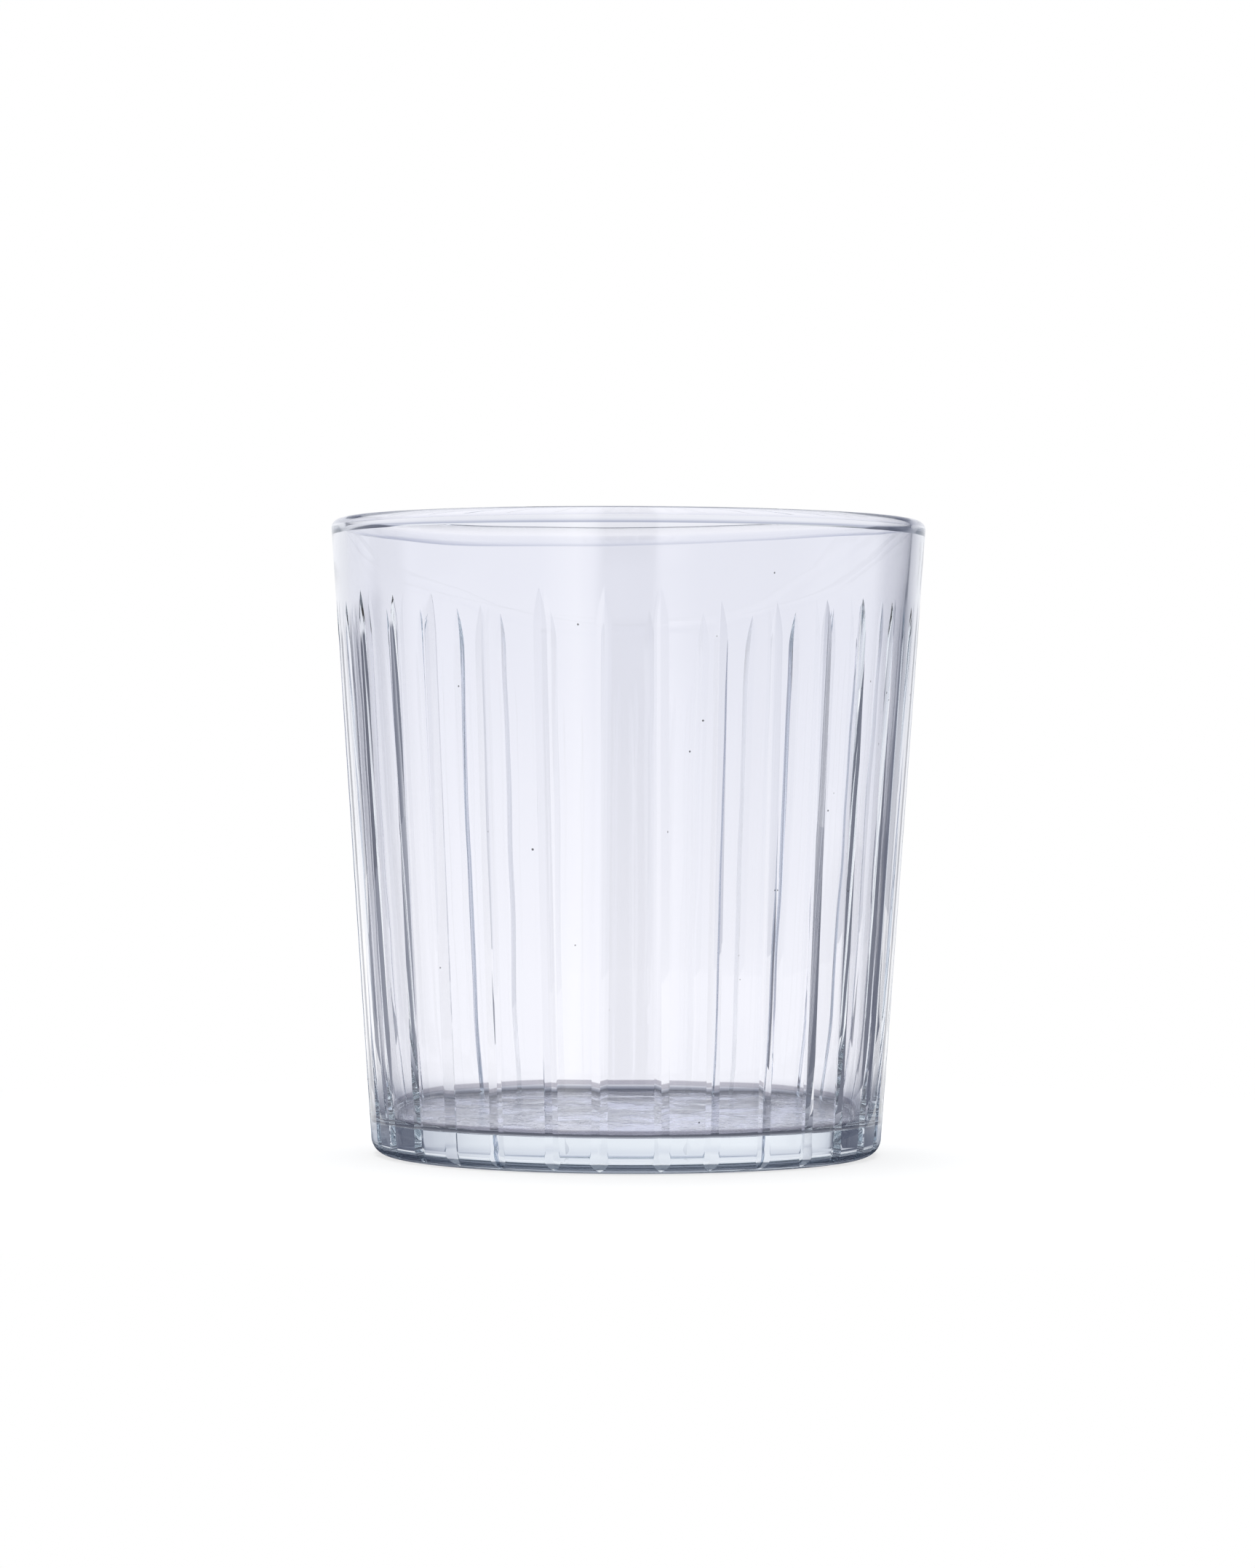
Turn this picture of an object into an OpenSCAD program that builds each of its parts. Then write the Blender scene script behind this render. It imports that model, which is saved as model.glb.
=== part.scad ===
// Juice glass: a tapered tumbler blown or pressed as one piece of clear glass, with fine
// upright flutes cut into the outside by a wheel with a V-shaped edge.
// The axis of the glass is Z, the foot rests on Z = 0 and the front faces -Y.

/* [Glass] */
// Outside diameter at the rim
rim_diameter = 85; // [60:0.5:110]
// Outside diameter at the table, before the heel is rounded
foot_diameter = 72.5; // [50:0.5:100]
// Height from the table to the top of the lip
height = 90.5; // [70:0.5:150]
// Wall thickness at the rim
rim_wall = 1.9; // [1.6:0.1:3]
// Wall thickness at the floor
floor_wall = 2.4; // [1.8:0.1:4]

/* [Lip] */
// Radius of the fire-polished rounding on the outside of the lip
lip_radius = 1.3; // [0.8:0.1:1.4]

/* [Base] */
// Thickness of the floor, from the bearing ring to the inside
floor_thickness = 4.9; // [3:0.1:12]
// Radius of the rounding between the floor and the inside of the wall
floor_radius = 1.3; // [1:0.1:8]
// Radius of the rounding at the heel
heel_radius = 3.6; // [1:0.1:4]
// Width of the flat ring that the glass stands on
ring_width = 4; // [2:0.5:10]
// Depth of the hollow under the base
hollow_depth = 0.8; // [0.3:0.1:2]

/* [Flutes] */
// Number of flutes round the glass
flute_count = 32; // [12:1:40]
// Width of a flute at the surface
flute_width = 2.15; // [1:0.05:3]
// Depth of a flute at its crease
flute_depth = 0.45; // [0.2:0.05:0.9]
// Distance from the rim down to the tips of the flutes
flute_gap = 11.5; // [5:0.5:40]
// Diameter of the wheel that cut them, which sets how long their tips are
wheel_diameter = 87; // [20:1:150]
// Angle from the front of the glass to the first flute on its right
flute_turn = 6.6; // [0:0.1:30]

/* [Hidden] */
$fn = 180;

rim_r = rim_diameter / 2;
foot_r = foot_diameter / 2;

// The outside and inside of the wall are both cones
function outside_r(z) = foot_r + (rim_r - foot_r) * z / height;
inside_rim_r = rim_r - rim_wall;
inside_floor_r = outside_r(floor_thickness) - floor_wall;
inside_slope = (inside_rim_r - inside_floor_r) / (height - floor_thickness);
function inside_r(z) = inside_rim_r - (height - z) * inside_slope;
draft = atan((rim_r - foot_r) / height);
inside_draft = atan(inside_slope);

// Centres of the roundings, each touching the wall and a level line
heel_x = outside_r(heel_radius) - heel_radius / cos(draft);
floor_x = inside_r(floor_thickness + floor_radius) - floor_radius / cos(inside_draft);
lip_x = outside_r(height - lip_radius) - lip_radius / cos(draft);
// The inside of the lip takes up what the outside rounding leaves of the wall
lip_inside_radius = (lip_x - inside_rim_r) / (1 / cos(inside_draft) - inside_slope);

// The hollow is a shallow dome that starts at the inner edge of the bearing ring
hollow_r = heel_x - ring_width;
dome_r = (hollow_r * hollow_r + hollow_depth * hollow_depth) / (2 * hollow_depth);

// The wheel leaves the glass where its rim has risen by the depth of the flute
wheel_r = wheel_diameter / 2;
lift_angle = acos(1 - flute_depth / wheel_r);
tip_length = wheel_r * sin(lift_angle);
straight_top = (height - flute_gap) / cos(draft) - tip_length;
// How far a cut reaches beyond the surface that it starts from
overlap = 0.5;
pitch = 360 / flute_count;

// Point where a rounding meets a wall that leans outwards
function outer_touch(x, z, r, lean) = [x + r * cos(lean), z - r * sin(lean)];
function inner_touch(x, z, r, lean) = [x - r * cos(lean), z + r * sin(lean)];

module outside_profile() {
    polygon([
        [0, 0],
        [heel_x, 0],
        outer_touch(heel_x, heel_radius, heel_radius, draft),
        outer_touch(lip_x, height - lip_radius, lip_radius, draft),
        [lip_x, height],
        [0, height],
    ]);
    translate([heel_x, heel_radius]) circle(heel_radius);
    translate([lip_x, height - lip_radius]) circle(lip_radius);
}

module inside_profile() {
    difference() {
        polygon([
            [0, floor_thickness],
            [floor_x, floor_thickness],
            outer_touch(floor_x, floor_thickness + floor_radius, floor_radius, inside_draft),
            inner_touch(lip_x, height - lip_inside_radius, lip_inside_radius, inside_draft),
            [lip_x, height - lip_inside_radius],
            [lip_x, height + overlap],
            [0, height + overlap],
        ]);
        translate([lip_x, height - lip_inside_radius]) circle(lip_inside_radius);
    }
    translate([floor_x, floor_thickness + floor_radius]) circle(floor_radius);
}

module hollow_profile() {
    translate([0, hollow_depth - dome_r]) circle(dome_r);
}

module blank() {
    rotate_extrude()
        difference() {
            outside_profile();
            inside_profile();
            hollow_profile();
        }
}

// Section of the wheel's edge: the crease lies at -flute_depth and the surface of the glass at 0
module wheel_edge() {
    reach = flute_depth + overlap;
    half = reach * flute_width / (2 * flute_depth);
    translate([-flute_depth, 0])
        polygon([[0, 0], [reach, -half], [reach, half]]);
}

// One stroke of the wheel, standing on the wall at the heel: straight up, then lifting out
module flute() {
    translate([0, 0, -overlap])
        linear_extrude(straight_top + overlap)
            wheel_edge();
    translate([wheel_r - flute_depth, 0, straight_top])
        rotate([90, 0, 180])
            rotate_extrude(angle = 2 * lift_angle)
                translate([wheel_r - flute_depth, 0])
                    mirror([1, 0]) wheel_edge();
}

module tumbler() {
    color("lightcyan", 0.5)
        difference() {
            blank();
            for (i = [0 : flute_count - 1])
                rotate([0, 0, flute_turn - 90 + i * pitch])
                    translate([foot_r, 0, 0])
                        rotate([0, draft, 0])
                            flute();
        }
}

tumbler();
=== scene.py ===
"""Juice glass: one clear glass tumbler with cut flutes, on a plain pale floor."""

import math

import bpy
import numpy as np
from mathutils import Matrix, Vector, noise


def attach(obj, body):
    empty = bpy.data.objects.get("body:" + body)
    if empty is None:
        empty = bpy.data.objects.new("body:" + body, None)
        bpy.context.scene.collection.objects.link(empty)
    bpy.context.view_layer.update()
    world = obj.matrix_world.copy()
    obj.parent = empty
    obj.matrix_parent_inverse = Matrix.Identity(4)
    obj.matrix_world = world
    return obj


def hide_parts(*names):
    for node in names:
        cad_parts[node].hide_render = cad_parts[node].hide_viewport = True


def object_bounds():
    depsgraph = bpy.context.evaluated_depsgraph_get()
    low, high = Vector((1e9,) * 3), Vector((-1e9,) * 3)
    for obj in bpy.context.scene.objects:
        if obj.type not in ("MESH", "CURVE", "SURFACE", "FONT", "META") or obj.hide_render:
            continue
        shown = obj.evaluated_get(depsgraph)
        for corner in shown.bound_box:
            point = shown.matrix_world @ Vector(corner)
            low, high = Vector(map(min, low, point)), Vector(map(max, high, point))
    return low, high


bl_info = {
    "name": "Juice Glass",
    "version": (1, 0, 0),
    "blender": (4, 5, 0),
    "location": "View3D > Sidebar > Juice Glass",
    "description": "Builds a fluted juice glass and the stage that it stands on",
    "category": "Add Mesh",
}

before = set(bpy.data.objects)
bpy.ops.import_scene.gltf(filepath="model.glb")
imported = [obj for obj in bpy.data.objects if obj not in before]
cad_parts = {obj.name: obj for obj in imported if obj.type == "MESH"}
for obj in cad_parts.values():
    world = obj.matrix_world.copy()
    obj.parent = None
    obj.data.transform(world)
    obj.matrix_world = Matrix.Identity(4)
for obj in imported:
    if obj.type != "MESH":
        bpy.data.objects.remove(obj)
CAD_BOX = [list(corner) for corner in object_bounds()]
CAD_HEIGHT = CAD_BOX[1][2] - CAD_BOX[0][2]

MM = 0.001
TURN = 2 * math.pi
# Turns radians into hundreds of degrees
HUNDRED_DEGREES = 0.573


def number(name, description, default, **kind):
    """A number property, with the unit or subtype that it is shown in."""
    return bpy.props.FloatProperty(name=name, description=description, default=default, **kind)


def length(name, description, default):
    """A length property, given in millimetres and kept in metres."""
    return number(name, description, default * MM, unit="LENGTH", precision=5)


def angle(name, description, default):
    """An angle property, given in degrees and kept in radians."""
    return number(name, description, math.radians(default), subtype="ANGLE")


def colour(name, description, default):
    """A colour property."""
    return bpy.props.FloatVectorProperty(
        name=name, description=description, default=default, subtype="COLOR", min=0, max=1
    )


class TumblerSizes(bpy.types.PropertyGroup):
    """Sizes of the plain glass, before it is cut."""

    rim_diameter: length("Rim Diameter", "Outside diameter at the rim", 85)
    foot_diameter: length("Foot Diameter", "Outside diameter at the table, before the heel", 72.5)
    height: length("Height", "From the table to the top of the lip", CAD_HEIGHT / MM)
    rim_wall: length("Rim Wall", "Wall thickness at the rim", 1.9)
    floor_wall: length("Floor Wall", "Wall thickness at the floor", 2.4)
    lip_radius: length("Lip Radius", "Rounding on the outside of the lip", 1.3)
    lip_inside: length("Lip Inside", "How far down the inside the lip is rounded", 0.75)
    bead_height: length("Bead Height", "How far the melted lip swells inwards", 0.36)
    bead_wide: length("Bead Wide", "From the top of the lip to where the swelling is widest", 1.0)
    bead_low: length("Bead Low", "From the top of the lip to where the swelling ends", 2.15)
    floor_thickness: length("Floor Thickness", "From the bearing ring to the inside", 4.9)
    floor_radius: length("Floor Radius", "Rounding between the floor and the wall", 1.3)
    toe_wide: length("Toe Wide", "How much thicker the wall grows towards the floor", 0.6)
    toe_high: length("Toe High", "From the floor up to where the wall starts to grow thicker", 16)
    heel_radius: length("Heel Radius", "Rounding at the heel", 2.5)
    ring_width: length("Ring Width", "Flat ring that the glass stands on", 4)
    hollow_depth: length("Hollow Depth", "Depth of the hollow under the base", 0.8)
    bore_offset: length("Bore Offset", "How far the inside stands off the axis", 0.2)
    wave_height: length("Wave Height", "How uneven the inside of the wall is", 0.12)
    wave_size: length("Wave Size", "Distance between the waves of the inside", 20)


class FluteSizes(bpy.types.PropertyGroup):
    """Sizes of the cut flutes."""

    count: bpy.props.IntProperty(name="Count", description="Flutes round the glass", default=32, min=3)
    width: length("Width", "Width of a flute at the surface", 2.15)
    depth: length("Depth", "Depth of a flute at its crease", 0.45)
    gap: length("Gap", "From the rim down to the tips", 11.6)
    wheel_diameter: length("Wheel Diameter", "Wheel that cut them, which sets how long their tips are", 87)
    turn: angle("Turn", "From the front to the first flute on its right", 6.6)
    bend_start: length("Bend Start", "From the table up to where a flute starts to follow the heel", 3.2)
    bend_radius: length("Bend Radius", "How sharply a flute follows the heel", 7)
    bend: angle("Bend", "How far round the heel the wheel goes", 34)


class GlassLook(bpy.types.PropertyGroup):
    """Finish of the glass, with the colours of its painted shade."""

    tint: colour("Tint", "What one wall leaves of white light", (0.952, 0.953, 0.988))
    depth: colour("Depth", "Colour of thick glass: the paler, the less it takes away", (0.774, 0.854, 0.9))
    density: number("Density", "How fast light takes on that colour in the glass, per metre", 10)
    ior: number("IOR", "Refractive index of soda-lime glass", 1.52)
    # Colour of the painted shadow round the heel, where the foot meets the table
    painted_heel_shadow: colour("Painted Heel Shadow", "Colour of the scuffed line round the heel", (0.07, 0.085, 0.115))
    # Colour of the painted shade in the corner of the floor inside
    painted_corner_shade: colour("Painted Corner Shade", "Colour of the line that a dried drink left above the floor", (0.28, 0.27, 0.32))
    wear: length("Wear", "Height of the worn unevenness on the floor inside", 0.36)
    haze: number("Haze", "Greatest roughness of the worn floor", 0.15, subtype="FACTOR")
    film: number("Film", "How dense the water marks on the worn floor are", 0.75, subtype="FACTOR")
    film_colour: colour("Film Colour", "Colour of the water marks", (0.66, 0.68, 0.80))
    speck: length("Speck", "Radius of a seed or speck in the glass", 0.2)
    speck_gap: length("Speck Gap", "Size of the cells that may hold a speck", 2.5)
    speck_colour: colour("Speck Colour", "Colour of the specks", (0.05, 0.05, 0.07))


class StageSettings(bpy.types.PropertyGroup):
    """Camera, floor and lights."""

    camera_distance: length("Camera Distance", "From the axis of the glass to the camera", 682)
    camera_height: length("Camera Height", "From the table to the camera", 56.8)
    camera_lens: number("Lens", "Focal length", 109.4, unit="CAMERA")
    camera_pitch: angle("Pitch", "How far the camera looks down", 0.33)
    camera_roll: angle("Roll", "How far the camera leans", 0.2235)
    tent_radius: length("Tent Radius", "From the axis of the glass to the lit screen round it", 500)
    tent_top: length("Tent Top", "From the table to the upper edge of the screen", 320)
    room: number("Room", "Brightness of the room round the stage", 0.4)
    room_colour: colour("Room Colour", "Colour of the light of the room", (0.85, 0.92, 1))
    ceiling: number("Ceiling", "Brightness of the ceiling", 0.95)
    ceiling_colour: colour("Ceiling Colour", "Colour of the light of the ceiling", (0.93, 0.96, 1))


GROUPS = {
    "juice_tumbler": TumblerSizes,
    "juice_flutes": FluteSizes,
    "juice_look": GlassLook,
    "juice_stage": StageSettings,
}

# How flutes stray from an even pitch, by their number from the first on the right of the front:
# degrees at the foot, degrees at the tip, millimetres that the tip stands high, and depth against
# the usual one.
STRAY = {
    -6: (-2.4, -2.3, 1.0, 1.0),
    -5: (-2.15, -1.35, 0.1, 1.0),
    -4: (-1.8, -1.6, 0.15, 0.8),
    -3: (-1.7, -1.6, -1.6, 1.0),
    -2: (-0.05, -0.9, 0.7, 0.92),
    -1: (-1.15, 0.25, 0.95, 1.08),
    0: (1.15, -0.55, 0.95, 1.0),
    1: (0.8, -0.3, -0.85, 0.95),
    2: (2.0, -0.1, -0.8, 0.95),
    3: (2.6, 0.4, -0.3, 1.0),
    4: (1.6, -0.8, 0.2, 1.0),
    5: (1.5, -1.2, -0.1, 1.0),
    6: (0.9, -1.3, -0.65, 1.0),
    11: (-1.05, -1.05, -0.2, 0.9),
    12: (-1.1, -1.1, -0.6, 0.95),
    13: (-1.05, -1.05, -0.9, 0.9),
    14: (-0.7, -0.7, -0.5, 1.0),
    15: (-0.35, -0.35, -0.3, 0.9),
    16: (-1.6, -1.6, -0.7, 0.95),
    17: (-1.25, -1.25, -0.4, 1.0),
    18: (-0.9, -0.9, -0.8, 0.9),
    19: (-0.85, -0.85, -0.2, 0.95),
    20: (-0.9, -0.9, -0.6, 0.9),
}
# Flutes cut with the wheel rolled over, in degrees, and flutes that run out before the foot
ROLLED = {-4: -11}
RUN_OUT = {15, 16}
# The other flutes take their slips from a noise: the steps between the points where it is read, how
# far these stand off its grid, where it is always 0, its gain, and how large each slip may be, in the
# order of the table above
FLUTE_STEP = 7.31
SLIP_STEP = 3.17
OFF_GRID = 0.5
SLIP_GAIN = 1.6
SLIP_SIZES = (1, 1, 0.9, 0.1)

# Steps of the turned glass and the gap that is welded where its ends meet
TURN_STEPS = 480
WELD = 0.002 * MM
# How far below the swelling of the lip the inside is as uneven as it gets
UNEVEN_FROM = 10 * MM
# How far a stroke of the wheel stands out of the glass
OVERCUT = 0.8 * MM
# Edges sharper than this stay crisp
CREASE = math.radians(14)

# Where the wear and the painted shade lie: each pair is where a mark fades out and where it is full,
# off the level of the floor, from the axis, above the floor or above the table
FLOOR_OFF = (0.9 * MM, 0.4 * MM)
FLOOR_REACH = (33.5 * MM, 31.5 * MM)
# The painted shade in the corner of the floor
CORNER_SHADE_TOP = (1.65 * MM, 1.35 * MM)
CORNER_SHADE_BOTTOM = (0.55 * MM, 0.75 * MM)
CORNER_SHADE_REACH = (35.4 * MM, 35.0 * MM)
# The painted shadow round the heel
HEEL_SHADOW_TOP = (1.5 * MM, 1.3 * MM)
HEEL_SHADOW_BOTTOM = (0.5 * MM, 0.65 * MM)
# How much the painted shade in the corner of the floor rises towards the back
CORNER_SHADE_TILT = 0.012
# Patterns of the worn floor: how fine they are, how much each adds to its unevenness and its water
# marks, and between which values of the pattern it turns dull or marked
SMEAR_SCALE = 140
GRAIN_SCALE = 900
SMEAR_HEIGHT = 2
GRAIN_HEIGHT = 0.4
GRAIN_MARKS = 0.6
DULL_RANGE = (0.45, 0.68)
MARKS_RANGE = (0.72, 1.0)
# The water marks show at a low angle and fade from above
MARKS_SHEEN = 4
# How rare a speck is, how many more there are on the worn floor, how sharp one is and how dense
SPECK_RARE = 0.965
SPECK_FLOOR = 0.55
SPECK_CORE = 0.6
SPECK_DENSE = 0.85
# Streaks of the melt: how fine they are along each axis, and how dark and how bright they get
MELT_SCALE = (90, 90, 22)
MELT_DARK = 0.985
MELT_BRIGHT = 1.012

# Brightness of the screen by the angle round the glass, in degrees: 0 is behind the glass, 90 on
# its right and 180 at the camera. Three rings of it lie above each other.
SCREEN_LOW = (
    (-171, 0.10),
    (-167, 1.1),
    (-161, 1.5),
    (-154, 1.2),
    (-147, 0.9),
    (-72, 0.9),
    (-70, 0.5),
    (-68, 0.2),
    (-50, 0.11),
    (-37.8, 0.1),
    (-37.2, 0.62),
    (-35, 0.80),
    (-33, 0.89),
    (-29, 0.94),
    (-23, 0.98),
    (-15, 1.0),
    (-5, 1.0),
    (10, 0.97),
    (20.5, 0.93),
    (24.5, 0.86),
    (28, 0.77),
    (31, 0.74),
    (34, 0.68),
    (37.2, 0.60),
    (37.8, 0.12),
    (50, 0.13),
    (64, 0.18),
    (67, 0.5),
    (70, 0.85),
    (168.5, 0.85),
    (169.5, 0.10),
)
SCREEN_MIDDLE = (
    (-171, 0.10),
    (-167, 1.1),
    (-161, 1.5),
    (-154, 1.0),
    (-148, 0.55),
    (-117, 0.42),
    (-99, 0.55),
    (-85, 0.85),
    (-37, 0.85),
    (-15, 1.0),
    (10, 0.97),
    (20.5, 0.93),
    (28, 0.77),
    (34, 0.60),
    (38, 0.4),
    (42, 0.2),
    (64, 0.2),
    (70, 0.85),
    (168.5, 0.85),
    (169.5, 0.10),
)
SCREEN_HIGH = (
    (-165, 0.85),
    (-148, 0.55),
    (-117, 0.42),
    (-99, 0.55),
    (-85, 0.85),
    (-70, 0.8),
    (-66, 0.15),
    (-46, 0.13),
    (-38, 0.32),
    (-28, 0.65),
    (-18, 0.9),
    (-8, 1.0),
    (8, 1.0),
    (18, 0.9),
    (28, 0.65),
    (38, 0.32),
    (46, 0.13),
    (66, 0.15),
    (70, 0.8),
    (100, 0.9),
)
# Heights between which each ring goes over into the one above it, in metres
SCREEN_STEPS = ((0.055, 0.075), (0.14, 0.18))
# The ramps hold no more than 1, so they are divided by this and the light is made stronger by it
SCREEN_PEAK = 2.5
# Share of the brightness by the height on the screen, in metres
SCREEN_FALL = (
    (0, 1),
    (0.03, 0.965),
    (0.06, 0.93),
    (0.10, 0.90),
    (0.20, 0.86),
    (0.24, 0.74),
    (0.27, 0.6),
    (0.32, 0.46),
)
# The sheet in front lies just clear of the table, and ends at this share of the screen's radius
SHEET_LIFT = 0.0003
SHEET_INNER = 0.12

# Painted shadow round the foot: how bright the glass sees the table, by the distance from its
# axis in metres
TABLE_FALL = (
    (0, 0.5),
    (0.027, 0.46),
    (0.033, 0.05),
    (0.040, 0.06),
    (0.046, 0.26),
    (0.052, 0.38),
    (0.058, 0.53),
    (0.066, 0.76),
    (0.075, 0.93),
    (0.085, 1),
)
# Brightness of the screen and the table in the glass, over what their tables say
GLOW = 1.05
# Distances from the axis between which the table turns pure white to the camera, in metres, and how
# white it is closer in, where the rest of it keeps the shadow
SHADE_REACH = (0.05, 0.16)
SHADE_WHITE = 0.7

# Mats of painted shade on the table beside the glass, which only the glass sees: their side and
# brightness, their outline in metres, and how far they lie clear of the table
SHADE_MATS = (("Left Shade Mat", -1, 0.25), ("Right Shade Mat", 1, 0.15))
MAT_OUTLINE = ((0.045, -0.02), (0.11, 0.143), (0.378, 0.491), (0.6, 0.13))
MAT_LIFT = 0.0004

# Direction of the lit part of the ceiling, and how far along it a ray points where the light starts
# and where it is full
CEILING_TOWARDS = (-0.35, 0.45, 0.82)
CEILING_RANGE = (0.5, 0.85)

# How much faster red fades than green where the light is dim, and how much slower blue does
DUSK_RED = 0.45
DUSK_BLUE = 1.4
# Light goes through many walls of the glass before it ends
BOUNCES = 40


def arc(x, z, across, along, start, end, steps):
    """Points of an elliptic arc from one angle to another, in degrees, both ends included."""
    angles = np.radians(np.linspace(start, end, steps + 1))
    return [(x + across * math.cos(a), z + along * math.sin(a)) for a in angles]


def line(start, end, steps):
    """Points between two ends, both left out."""
    return [tuple(np.add(start, np.subtract(end, start) * i / steps)) for i in range(1, steps)]


def eased(value):
    """A smooth step from 0 to 1."""
    value = min(max(value, 0), 1)
    return value * value * (3 - 2 * value)


class Blank:
    """The half section of the plain glass, worked out from its sizes."""

    def __init__(self, s):
        self.s = s
        self.foot_r = s.foot_diameter / 2
        self.slope = (s.rim_diameter / 2 - self.foot_r) / s.height
        self.draft = math.atan(self.slope)
        self.inside_rim_r = s.rim_diameter / 2 - s.rim_wall
        inside_floor_r = self.outside_r(s.floor_thickness) - s.floor_wall
        self.inside_slope = (self.inside_rim_r - inside_floor_r) / (s.height - s.floor_thickness)

    def outside_r(self, z):
        """Radius of the cone that the outside of the wall follows."""
        return self.foot_r + self.slope * z

    def inside_r(self, z):
        """Radius of the inside, with the swelling under the lip and the thicker wall at the floor."""
        s = self.s
        down = (s.height - z - s.bead_wide) / (s.bead_low - s.bead_wide)
        swell = s.bead_height * (1 - min(max(down, 0), 1) ** 2)
        toe = s.toe_wide * max(1 - (z - s.floor_thickness) / s.toe_high, 0) ** 2
        return self.inside_rim_r - (s.height - z) * self.inside_slope - swell - toe

    def under(self):
        """From the middle of the hollow to the inner edge of the heel."""
        s = self.s
        heel_x = self.heel_x()
        hollow_r = heel_x - s.ring_width
        dome_r = (hollow_r**2 + s.hollow_depth**2) / (2 * s.hollow_depth)
        rise = math.degrees(math.asin(hollow_r / dome_r))
        points = arc(0, s.hollow_depth - dome_r, dome_r, dome_r, 90, 90 - rise, steps=12)
        return points + line(points[-1], (heel_x, 0), steps=3)

    def heel_x(self):
        """Where the heel starts on the table."""
        s = self.s
        return self.outside_r(s.heel_radius) - s.heel_radius / math.cos(self.draft)

    def outside(self):
        """The heel, the wall and the outside of the lip up to its top."""
        s = self.s
        lean = math.degrees(self.draft)
        lip_x = self.outside_r(s.height - s.lip_radius) - s.lip_radius / math.cos(self.draft)
        heel = arc(self.heel_x(), s.heel_radius, s.heel_radius, s.heel_radius, -90, -lean, steps=14)
        lip = arc(lip_x, s.height - s.lip_radius, s.lip_radius, s.lip_radius, -lean, 90, steps=14)
        return heel + line(heel[-1], lip[0], steps=18) + lip

    def inside(self, top):
        """From the top of the lip down the inside to the middle of the floor."""
        s = self.s
        lip_low = s.height - s.lip_inside
        lip_wide = top[0] - self.inside_r(lip_low)
        lip = arc(top[0], lip_low, lip_wide, s.lip_inside, 90, 180, steps=9)[1:]
        corner_z = s.floor_thickness + s.floor_radius
        step_out = self.inside_r(corner_z + MM) - self.inside_r(corner_z - MM)
        lean = math.degrees(math.atan(step_out / (2 * MM)))
        corner_x = self.inside_r(corner_z) - s.floor_radius / math.cos(math.radians(lean))
        corner = arc(corner_x, corner_z, s.floor_radius, s.floor_radius, -lean, -90, steps=10)
        bead = np.linspace(lip_low, s.height - s.bead_low, num=20)[1:]
        wall = np.linspace(bead[-1], corner[0][1], num=50)[1:-1]
        drawn_wall = [(self.inside_r(z), z) for z in (*bead, *wall)]
        middle = (0, s.floor_thickness)
        return lip + drawn_wall + corner + line(corner[-1], middle, steps=18) + [middle]


def deselect():
    """Leaves nothing selected, so that the next operator acts on its own piece alone."""
    if bpy.context.object and bpy.context.object.mode != "OBJECT":
        bpy.ops.object.mode_set(mode="OBJECT")
    bpy.ops.object.select_all(action="DESELECT")


def select(piece):
    """Leaves one object selected and active."""
    deselect()
    piece.select_set(True)
    bpy.context.view_layer.objects.active = piece


def drawn(name, points):
    """An object whose mesh is one chain of edges, drawn point by point."""
    deselect()
    bpy.ops.mesh.primitive_plane_add(size=MM)
    piece = bpy.context.object
    piece.name = piece.data.name = name
    bpy.ops.object.mode_set(mode="EDIT")
    bpy.ops.mesh.select_all(action="SELECT")
    bpy.ops.mesh.merge(type="CENTER")
    here = Vector((0, 0, 0))
    for index, point in enumerate(points):
        step = Vector(point) - here
        if index == 0:
            bpy.ops.transform.translate(value=step)
        else:
            bpy.ops.mesh.extrude_region_move(TRANSFORM_OT_translate={"value": step})
        here += step
    return piece


def chance(index, slip):
    """A fixed chance value between about -1 and 1 for one slip of one flute."""
    point = Vector((index * FLUTE_STEP + OFF_GRID, slip * SLIP_STEP + OFF_GRID, OFF_GRID))
    return noise.noise(point) * SLIP_GAIN


def applied(piece, kind, name, **settings):
    """Adds a modifier with its settings and applies it."""
    modifier = piece.modifiers.new(name, kind)
    for key, value in settings.items():
        setattr(modifier, key, value)
    select(piece)
    bpy.ops.object.modifier_apply(modifier=name)


class TUMBLER_OT_blow(bpy.types.Operator):
    """Spin the plain glass from its half section and make its inside uneven"""

    bl_idname = "juice_glass.blow_tumbler"
    bl_label = "Blow Tumbler"

    def execute(self, context):
        sizes = context.scene.juice_tumbler
        blank = Blank(sizes)
        outside = blank.under() + blank.outside()
        inside = blank.inside(outside[-1])
        piece = drawn("Tumbler", [(x, 0, z) for x, z in outside + inside])
        bpy.ops.object.mode_set(mode="OBJECT")
        group = piece.vertex_groups.new(name="inside")
        for index, (_, z) in enumerate(inside, len(outside)):
            below = sizes.height - sizes.bead_low - z
            group.add([index], eased(below / UNEVEN_FROM), "REPLACE")

        applied(
            piece, "SCREW", "Turn Round",
            axis="Z", angle=TURN, steps=TURN_STEPS, render_steps=TURN_STEPS,
            use_merge_vertices=True, merge_threshold=WELD,
        )
        bpy.ops.object.mode_set(mode="EDIT")
        bpy.ops.mesh.select_all(action="SELECT")
        bpy.ops.mesh.remove_doubles(threshold=WELD)
        bpy.ops.mesh.normals_make_consistent(inside=False)
        bpy.ops.object.mode_set(mode="OBJECT")

        waves = bpy.data.textures.new("Inside Waves", "CLOUDS")
        waves.noise_scale = sizes.wave_size
        waves.noise_depth = 1
        applied(
            piece, "DISPLACE", "Uneven Inside",
            texture=waves, texture_coords="LOCAL", vertex_group="inside", strength=sizes.wave_height,
        )
        applied(
            piece, "DISPLACE", "Bore Offset",
            direction="X", vertex_group="inside", mid_level=0, strength=-sizes.bore_offset,
        )
        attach(piece, "root")
        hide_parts("tumbler")
        return {"FINISHED"}


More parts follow.
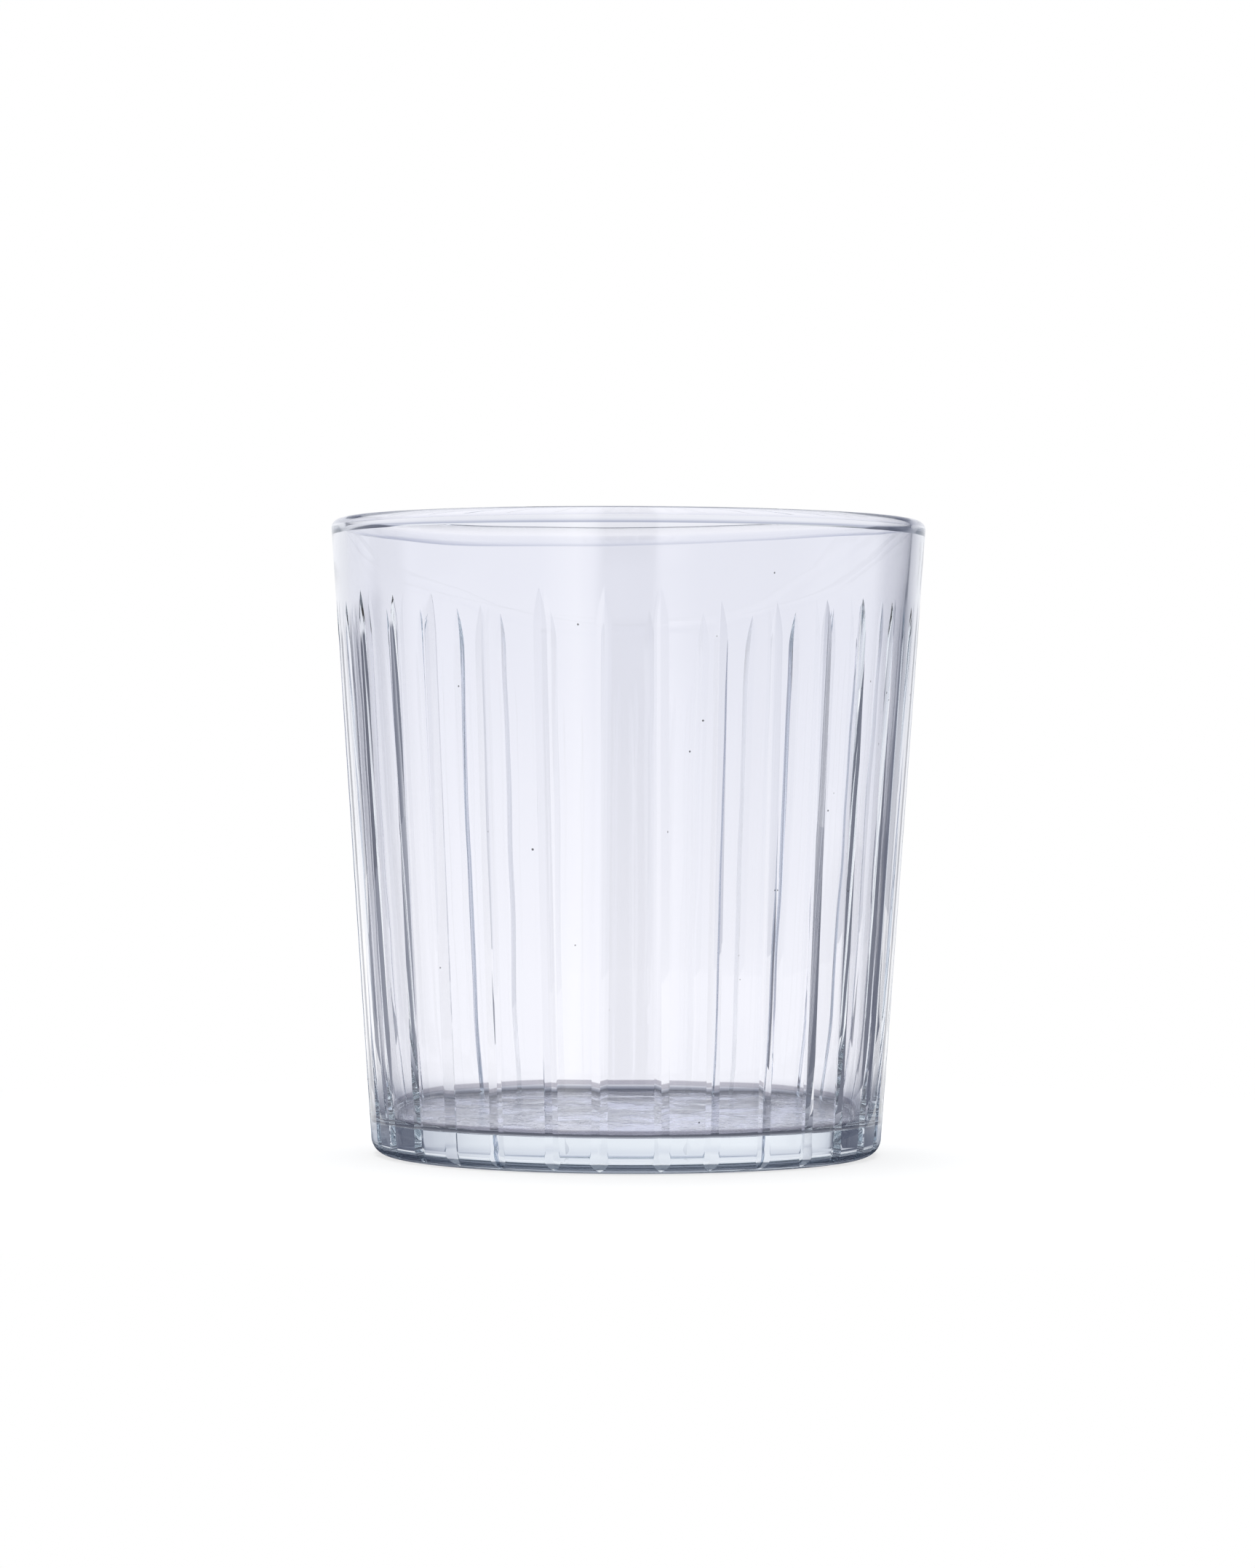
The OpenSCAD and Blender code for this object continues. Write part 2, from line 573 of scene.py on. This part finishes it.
class TUMBLER_OT_cut(bpy.types.Operator):
    """Model the strokes of the cutting wheel, each with its own slips, and cut the flutes with them"""

    bl_idname = "juice_glass.cut_flutes"
    bl_label = "Cut Flutes"

    def execute(self, context):
        scene = context.scene
        flutes = scene.juice_flutes
        blank = Blank(scene.juice_tumbler)
        piece = bpy.data.objects["Tumbler"]
        tip = (scene.juice_tumbler.height - flutes.gap) / math.cos(blank.draft)
        strokes = [self.stroke(blank, flutes, tip, index) for index in range(flutes.count)]
        deselect()
        for stroke in strokes:
            stroke.select_set(True)
        cutter = strokes[-1]
        context.view_layer.objects.active = cutter
        bpy.ops.object.join()
        applied(piece, "BOOLEAN", "Flutes", operation="DIFFERENCE", solver="MANIFOLD", object=cutter)
        bpy.data.objects.remove(cutter)
        return {"FINISHED"}

    def stroke(self, blank, flutes, tip, index):
        """One stroke: the V of the wheel's edge goes round the heel, up the wall and out along its arc."""
        place, straight = self.place(blank, flutes, tip, index)
        reach = flutes.depth + OVERCUT
        half = reach * flutes.width / (2 * flutes.depth)
        wheel_r = flutes.wheel_diameter / 2
        bend_r = flutes.bend_radius
        bend = flutes.bend
        low = flutes.bend_start - straight
        edge = [(bend_r, 0), (bend_r + reach, -half), (bend_r + reach, half)]
        points = [(x * math.cos(bend) - bend_r, y, low - x * math.sin(bend)) for x, y in edge]
        piece = drawn("Wheel Stroke", points)
        bpy.ops.mesh.select_all(action="SELECT")
        bpy.ops.mesh.edge_face_add()
        bpy.ops.mesh.spin(steps=12, angle=bend, center=(-bend_r, 0, low), axis=(0, 1, 0))
        bpy.ops.mesh.extrude_region_move(TRANSFORM_OT_translate={"value": (0, 0, -low)})
        lift = math.acos(1 - flutes.depth / wheel_r)
        bpy.ops.mesh.spin(steps=24, angle=-2 * lift, center=(wheel_r, 0, 0), axis=(0, 1, 0))
        bpy.ops.mesh.select_all(action="SELECT")
        bpy.ops.mesh.normals_make_consistent(inside=False)
        bpy.ops.object.mode_set(mode="OBJECT")
        piece.data.transform(place)
        return piece

    def place(self, blank, flutes, tip, index):
        """Where one stroke goes and how far up it is straight, with the slips of a hand at the wheel."""
        flute = index if index in STRAY else index - flutes.count
        *slips, extra = (size * chance(index, slip) for slip, size in enumerate(SLIP_SIZES))
        at_foot, at_tip, high, deep = STRAY.get(flute, (*slips, 1 + extra))
        depth = flutes.depth * deep
        straight = tip + high * MM - math.sqrt(flutes.wheel_diameter * depth)
        rise = depth if flute in RUN_OUT else 0
        turn = flutes.turn - math.pi / 2 + index * TURN / flutes.count + math.radians(at_foot)
        lean = math.atan(math.radians(at_tip - at_foot) * blank.outside_r(tip) / tip)
        place = (
            Matrix.Rotation(turn, 4, "Z")
            @ Matrix.Translation((blank.foot_r, 0, 0))
            @ Matrix.Rotation(blank.draft, 4, "Y")
            @ Matrix.Rotation(-lean, 4, "X")
            @ Matrix.Translation((rise, 0, 0))
            @ Matrix.Rotation(-rise / tip, 4, "Y")
            @ Matrix.Translation((-depth, 0, straight))
            @ Matrix.Rotation(math.radians(ROLLED.get(flute, 0)), 4, "Z")
        )
        return place, straight


class Shade:
    """A node's output in a node tree, with the arithmetic that shader maths needs."""

    def __init__(self, tree, socket=None):
        self.tree = tree
        self.socket = socket

    def node(self, kind, settings=None, sockets=None, output=0):
        """Adds any node: its settings come first, then the values or links of its sockets."""
        made = self.tree.nodes.new("ShaderNode" + kind)
        for name, value in (settings or {}).items():
            if name == "stops":
                self.set_stops(made.color_ramp.elements, value)
            else:
                setattr(made, name, value)
        for name, value in (sockets or {}).items():
            if isinstance(value, Shade):
                self.tree.links.new(value.socket, made.inputs[name])
            else:
                made.inputs[name].default_value = value
        return Shade(self.tree, made.outputs[output] if made.outputs else None)

    @staticmethod
    def set_stops(elements, stops):
        """Gives a colour ramp its stops, each a position and a colour."""
        while len(elements) < len(stops):
            elements.new(1)
        for element, (position, shade) in zip(elements, stops):
            element.position = position
            element.color = (*shade, 1)

    def maths(self, operation, *values):
        """A Math node on this output or on plain numbers."""
        return self.node("Math", {"operation": operation}, dict(enumerate(values)))

    def __add__(self, other):
        return self.maths("ADD", self, other)

    def __sub__(self, other):
        return self.maths("SUBTRACT", self, other)

    def __rsub__(self, other):
        return self.maths("SUBTRACT", other, self)

    def __mul__(self, other):
        return self.maths("MULTIPLY", self, other)

    def __truediv__(self, other):
        return self.maths("DIVIDE", self, other)

    def __rtruediv__(self, other):
        return self.maths("DIVIDE", other, self)

    __radd__ = __add__
    __rmul__ = __mul__

    def mix(self, share, first, second, **settings):
        """A mix of two colours."""
        colours = {0: share, 6: first, 7: second}
        return self.node("Mix", {"data_type": "RGBA", **settings}, colours, output=2)

    def fade(self, value, none, full, low=0, high=1):
        """A smooth step of a value, from low at one end of its range to high at the other."""
        return self.node("MapRange", {"interpolation_type": "SMOOTHSTEP"}, {
            "Value": value, "From Min": none, "From Max": full, "To Min": low, "To Max": high,
        })

    def axes(self, place):
        """The three coordinates of a place."""
        return [self.node("SeparateXYZ", None, {0: place}, output=axis) for axis in "XYZ"]


def dusk(stops, peak=1, blue=0.1):
    """Ramp stops from positions and brightnesses: the dimmer the light, the bluer it is."""
    powers = (1 + DUSK_RED * blue, 1, 1 - DUSK_BLUE * blue)
    return [(at, [value**power / peak for power in powers]) for at, value in stops]


def shading(owner):
    """The cleared node tree of a material or world."""
    owner.use_nodes = True
    owner.node_tree.nodes.clear()
    return Shade(owner.node_tree)


class TUMBLER_OT_polish(bpy.types.Operator):
    """Give the glass its crisp cut edges and its material"""

    bl_idname = "juice_glass.polish"
    bl_label = "Polish"

    def execute(self, context):
        scene = context.scene
        piece = bpy.data.objects["Tumbler"]
        select(piece)
        bpy.ops.object.shade_smooth_by_angle(angle=CREASE)
        piece.data.materials.clear()
        piece.data.materials.append(self.clear_glass(scene.juice_look, scene.juice_tumbler))
        return {"FINISHED"}

    def clear_glass(self, look, sizes):
        """Clear glass with specks, streaks, a worn floor and painted shade at the floor's corner and heel.
        """
        material = bpy.data.materials.new("Clear Glass")
        shade = shading(material)
        place = shade.node("TexCoord", output="Object")
        x, y, z = shade.axes(place)
        away = shade.maths("SQRT", x * x + y * y)
        # 1 where light comes from the air, and 0 where it comes through the glass
        from_air = 1 - shade.node("NewGeometry", output="Backfacing")
        # The worn floor inside
        off_floor = shade.maths("ABSOLUTE", z - sizes.floor_thickness)
        floor = shade.fade(off_floor, *FLOOR_OFF) * shade.fade(away, *FLOOR_REACH) * from_air
        smear = shade.node("TexNoise", None, {"Vector": place, "Scale": SMEAR_SCALE, "Detail": 3})
        grain = shade.node("TexNoise", None, {"Vector": place, "Scale": GRAIN_SCALE, "Detail": 3})
        bumps = (smear * SMEAR_HEIGHT + grain * GRAIN_HEIGHT) * floor
        worn = shade.node("Bump", None, {"Strength": 1, "Distance": look.wear, "Height": bumps})
        rough = shade.fade(smear, *DULL_RANGE) * floor * look.haze
        # Painted shade in the corner of the floor, a dark band a little higher at the back
        level = z - sizes.floor_thickness - y * CORNER_SHADE_TILT
        inner = shade.fade(away, *CORNER_SHADE_REACH)
        painted_corner_shade = shade.fade(level, *CORNER_SHADE_TOP) * shade.fade(level, *CORNER_SHADE_BOTTOM) * inner
        # Seeds and specks in the glass, with more of them on the worn floor
        cells = {"Vector": place, "Scale": 1 / look.speck_gap}
        seeds = shade.node("TexVoronoi", None, cells)
        lot = shade.node("TexVoronoi", None, cells, output="Color")
        pick = shade.node("SeparateColor", None, {0: lot})
        many = shade.maths("GREATER_THAN", pick, SPECK_RARE - SPECK_FLOOR * floor)
        speck = shade.fade(seeds * look.speck_gap, look.speck, SPECK_CORE * look.speck) * many
        # Faint streaks of the melt
        drawn_out = shade.node("VectorMath", {"operation": "MULTIPLY"}, {0: place, 1: MELT_SCALE})
        melt = shade.node("TexNoise", None, {"Vector": drawn_out, "Scale": 1, "Detail": 2})
        darker = (*[part * MELT_DARK for part in look.tint], 1)
        brighter = (*[min(1, part * MELT_BRIGHT) for part in look.tint], 1)
        streaky = shade.mix(melt, darker, brighter)
        # Painted shadow round the heel, where the foot meets the table, which only shows from outside
        painted_heel_shadow = shade.fade(z, *HEEL_SHADOW_TOP) * shade.fade(z, *HEEL_SHADOW_BOTTOM) * from_air
        shaded = shade.mix(painted_heel_shadow, streaky, (*look.painted_heel_shadow, 1))
        # Painted shade in the corner of the floor, laid over the rest
        streaked_and_shaded = shade.mix(painted_corner_shade, shaded, (*look.painted_corner_shade, 1))
        glass = shade.node("BsdfPrincipled", None, {
            "Base Color": streaked_and_shaded,
            "Roughness": rough,
            "IOR": look.ior,
            "Transmission Weight": 1,
            "Normal": worn,
        })
        # The film of water marks on the worn floor
        film = shade.node("BsdfDiffuse", None, {"Color": (*look.film_colour, 1)})
        low_view = shade.maths("POWER", shade.node("LayerWeight", output="Facing"), MARKS_SHEEN)
        marks = shade.fade(smear + grain * GRAIN_MARKS, *MARKS_RANGE) * floor * low_view * look.film
        filmed = shade.node("MixShader", None, {0: marks, 1: glass, 2: film})
        dirt = shade.node("BsdfDiffuse", None, {"Color": (*look.speck_colour, 1)})
        surface = shade.node("MixShader", None, {0: speck * SPECK_DENSE, 1: filmed, 2: dirt})
        depth = shade.node("VolumeAbsorption", None, {"Color": (*look.depth, 1), "Density": look.density})
        shade.node("OutputMaterial", None, {"Surface": surface, "Volume": depth})
        return material


class STAGE_OT_set(bpy.types.Operator):
    """Set up the floor, the lights and the camera"""

    bl_idname = "juice_glass.set_stage"
    bl_label = "Set Stage"

    def execute(self, context):
        scene = context.scene
        stage = scene.juice_stage
        scene.view_settings.view_transform = "Standard"
        for limit in ("max_bounces", "transmission_bounces", "glossy_bounces"):
            setattr(scene.cycles, limit, BOUNCES)
        camera = self.camera(scene, stage)
        self.floor()
        self.room(scene, stage)
        turntable = self.turntable(scene, camera)
        for piece in (self.screen(stage), *(self.mat(name, side, dark) for name, side, dark in SHADE_MATS)):
            piece.visible_camera = False
            piece.visible_diffuse = False
            piece.visible_shadow = False
            piece.parent = turntable
        return {"FINISHED"}

    def camera(self, scene, stage):
        """A long lens a little above the middle of the glass."""
        lens = bpy.data.cameras.new("Camera")
        lens.lens = stage.camera_lens
        lens.sensor_width = 36
        camera = bpy.data.objects.new("Camera", lens)
        scene.collection.objects.link(camera)
        camera.matrix_world = (
            Matrix.Translation((0, -stage.camera_distance, stage.camera_height))
            @ Matrix.Rotation(math.pi / 2 - stage.camera_pitch, 4, "X")
            @ Matrix.Rotation(stage.camera_roll, 4, "Z")
        )
        scene.camera = camera
        return camera

    def turntable(self, scene, camera):
        """An upright axis that turns the lit set, so that its screen stands across from the camera."""
        axis = bpy.data.objects.new("Turntable", None)
        scene.collection.objects.link(axis)
        turn = axis.constraints.new("LOCKED_TRACK")
        turn.target = camera
        turn.track_axis = "TRACK_NEGATIVE_Y"
        turn.lock_axis = "LOCK_Z"
        return axis

    def floor(self):
        """A plain white table, with a painted shadow close to the foot where the glass sees it."""
        deselect()
        bpy.ops.mesh.primitive_plane_add(size=6)
        floor = bpy.context.object
        floor.name = "Floor"
        material = bpy.data.materials.new("Floor")
        shade = shading(material)
        place = shade.node("TexCoord", output="Object")
        away = shade.node("VectorMath", {"operation": "LENGTH"}, {0: place}, output="Value")
        near = shade.fade(away, *SHADE_REACH, low=SHADE_WHITE)
        fall = shade.node("ValToRGB", {"stops": dusk(TABLE_FALL)}, {0: away})
        pale = shade.node("BsdfDiffuse", None, {"Color": (0.9, 0.9, 0.9, 1)})
        white = shade.node("Emission", None, {"Strength": 1})
        # What the glass sees of the table: a glow with a painted shadow round the foot
        behind = shade.node("Emission", None, {"Color": fall, "Strength": GLOW})
        seen = shade.node("LightPath", output="Is Camera Ray")
        through = shade.node("LightPath", output="Is Transmission Ray")
        mirrored = shade.node("LightPath", output="Is Glossy Ray")
        direct = shade.node("MixShader", None, {0: seen * near, 1: pale, 2: white})
        in_glass = shade.maths("MAXIMUM", through, mirrored)
        both = shade.node("MixShader", None, {0: in_glass, 1: direct, 2: behind})
        shade.node("OutputMaterial", None, {"Surface": both})
        floor.data.materials.append(material)

    def room(self, scene, stage):
        """A dim room with a lit ceiling, white to the camera, and a large lamp over the table."""
        world = bpy.data.worlds.new("Room")
        scene.world = world
        shade = shading(world)
        direction = shade.node("TexCoord", output="Generated")
        directions = {0: direction, 1: CEILING_TOWARDS}
        towards = shade.node("VectorMath", {"operation": "DOT_PRODUCT"}, directions, output="Value")
        above = shade.fade(towards, *CEILING_RANGE)
        dim = shade.node("Background", None, {"Color": (*stage.room_colour, 1), "Strength": stage.room})
        ceiling = shade.node("Background", None, {
            "Color": (*stage.ceiling_colour, 1), "Strength": stage.ceiling,
        })
        white = shade.node("Background", None, {"Color": (1, 1, 1, 1), "Strength": 1})
        seen = shade.node("LightPath", output="Is Camera Ray")
        around = shade.node("MixShader", None, {0: above, 1: dim, 2: ceiling})
        both = shade.node("MixShader", None, {0: seen, 1: around, 2: white})
        shade.node("OutputWorld", None, {"Surface": both})

        lamp = bpy.data.lights.new("Overhead", "AREA")
        lamp.shape = "SQUARE"
        lamp.size = 0.9
        lamp.energy = 16
        overhead = bpy.data.objects.new("Overhead", lamp)
        scene.collection.objects.link(overhead)
        overhead.location = (0, 0.1, 1.1)
        overhead.visible_glossy = False
        overhead.visible_transmission = False

    def screen(self, stage):
        """A round screen and a sheet on the table in front, whose light and dark show in the glass."""
        deselect()
        radius = stage.tent_radius
        front = np.radians(np.linspace(-90, 90, num=49))
        screen = drawn("Screen", [(radius * math.sin(a), -radius * math.cos(a), SHEET_LIFT) for a in front])
        bpy.ops.mesh.select_all(action="SELECT")
        bpy.ops.mesh.extrude_region_move()
        bpy.ops.transform.resize(value=(SHEET_INNER, SHEET_INNER, 1), center_override=(0, 0, 0))
        bpy.ops.object.mode_set(mode="OBJECT")
        bpy.ops.mesh.primitive_cylinder_add(
            vertices=96, radius=radius, depth=stage.tent_top,
            end_fill_type="NOTHING", location=(0, 0, stage.tent_top / 2),
        )
        bpy.ops.object.transform_apply(location=True)
        screen.select_set(True)
        bpy.context.view_layer.objects.active = screen
        bpy.ops.object.join()
        material = bpy.data.materials.new("Screen")
        shade = shading(material)
        place = shade.node("TexCoord", output="Object")
        x, y, z = shade.axes(place)
        around = shade.maths("ARCTAN2", x, y) / TURN + 0.5
        rings = (SCREEN_LOW, SCREEN_MIDDLE, SCREEN_HIGH)
        lit, *upper = (self.ring(shade, stops, around) for stops in rings)
        for (bottom, top), ring in zip(SCREEN_STEPS, upper):
            lit = shade.mix(shade.fade(z, bottom, top), lit, ring)
        fall = shade.node("ValToRGB", {"stops": dusk(SCREEN_FALL, blue=0.2)}, {0: z})
        lit = shade.mix(1, lit, fall, blend_type="MULTIPLY")
        glow = shade.node("Emission", None, {"Color": lit, "Strength": GLOW * SCREEN_PEAK})
        shade.node("OutputMaterial", None, {"Surface": glow})
        screen.data.materials.append(material)
        return screen

    def ring(self, shade, stops, around):
        """One ring of the screen, by the share of a turn round the glass."""
        shares = [(at / 360 + 0.5, bright) for at, bright in stops]
        return shade.node("ValToRGB", {"stops": dusk(shares, SCREEN_PEAK)}, {0: around})

    def mat(self, name, side, dark):
        """A dark mat of painted shade on the table beside the glass, out to the edge of the lit screen."""
        mat = drawn(name, [(side * x, y, MAT_LIFT) for x, y in MAT_OUTLINE])
        bpy.ops.mesh.select_all(action="SELECT")
        bpy.ops.mesh.edge_face_add()
        bpy.ops.object.mode_set(mode="OBJECT")
        material = bpy.data.materials.new(name)
        shade = shading(material)
        x, y, _ = shade.axes(shade.node("TexCoord", output="Object"))
        corner_x, corner_y = MAT_OUTLINE[0]
        # The painted shade pales by the angle round its near corner, in hundreds of degrees from straight
        # back
        hundreds = shade.maths("ARCTAN2", x * side - corner_x, y - corner_y) * HUNDRED_DEGREES
        stops = ((0.58, dark), (0.65, 1.4 * dark), (0.7, 0.85))
        fade = shade.node("ValToRGB", {"stops": dusk(stops)}, {0: hundreds})
        glow = shade.node("Emission", None, {"Color": fade, "Strength": 1})
        shade.node("OutputMaterial", None, {"Surface": glow})
        mat.data.materials.append(material)
        return mat


class VIEW3D_PT_juice_glass(bpy.types.Panel):
    """Sidebar panel with the sizes and the operators"""

    bl_label = "Juice Glass"
    bl_space_type = "VIEW_3D"
    bl_region_type = "UI"
    bl_category = "Juice Glass"

    def draw(self, context):
        for operator in OPERATORS:
            self.layout.operator(operator.bl_idname)
        for name, group in GROUPS.items():
            box = self.layout.box()
            for size in group.__annotations__:
                box.prop(getattr(context.scene, name), size)


OPERATORS = (TUMBLER_OT_blow, TUMBLER_OT_cut, TUMBLER_OT_polish, STAGE_OT_set)
CLASSES = (*GROUPS.values(), *OPERATORS, VIEW3D_PT_juice_glass)


def register():
    for cls in CLASSES:
        bpy.utils.register_class(cls)
    for name, group in GROUPS.items():
        setattr(bpy.types.Scene, name, bpy.props.PointerProperty(type=group))


def unregister():
    for name in GROUPS:
        delattr(bpy.types.Scene, name)
    for cls in reversed(CLASSES):
        bpy.utils.unregister_class(cls)


def main():
    register()
    bpy.ops.juice_glass.blow_tumbler()
    bpy.ops.juice_glass.cut_flutes()
    bpy.ops.juice_glass.polish()
    bpy.ops.juice_glass.set_stage()


if __name__ == "__main__":
    main()
